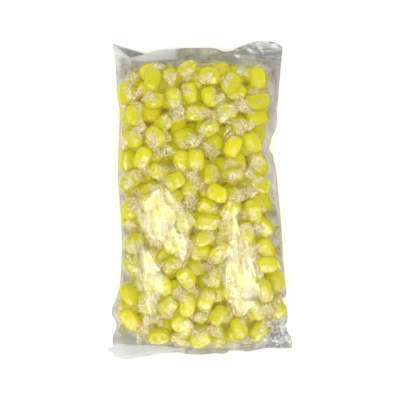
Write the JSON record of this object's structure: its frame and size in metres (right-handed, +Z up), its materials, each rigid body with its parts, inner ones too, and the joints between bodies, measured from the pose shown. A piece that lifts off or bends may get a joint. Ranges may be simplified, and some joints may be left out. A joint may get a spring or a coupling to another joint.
{
  "type": "bag of wrapped hard candy",
  "caption": "Clear pillow bag filled with twist-wrapped hard candies, lying on its back, with crimped end seals and a lumpy taut face.",
  "frame": {"origin": "centre of the bag's outline, on the surface it lies on", "axes": "+Y along the bag towards the end shown uppermost in the picture, +Z up out of the shown face, +X across the bag to the right"},
  "size_m": [0.1948, 0.3363, 0.0483],
  "materials": {
    "filled_bag": "clear film over yellow candies",
    "film": "clear, glossy",
    "candy": "smooth, slightly translucent",
    "wrapper": "clear, crinkled"
  },
  "bodies": {
    "root": {"candy_bag": "filled_bag"}
  },
  "joints": []
}
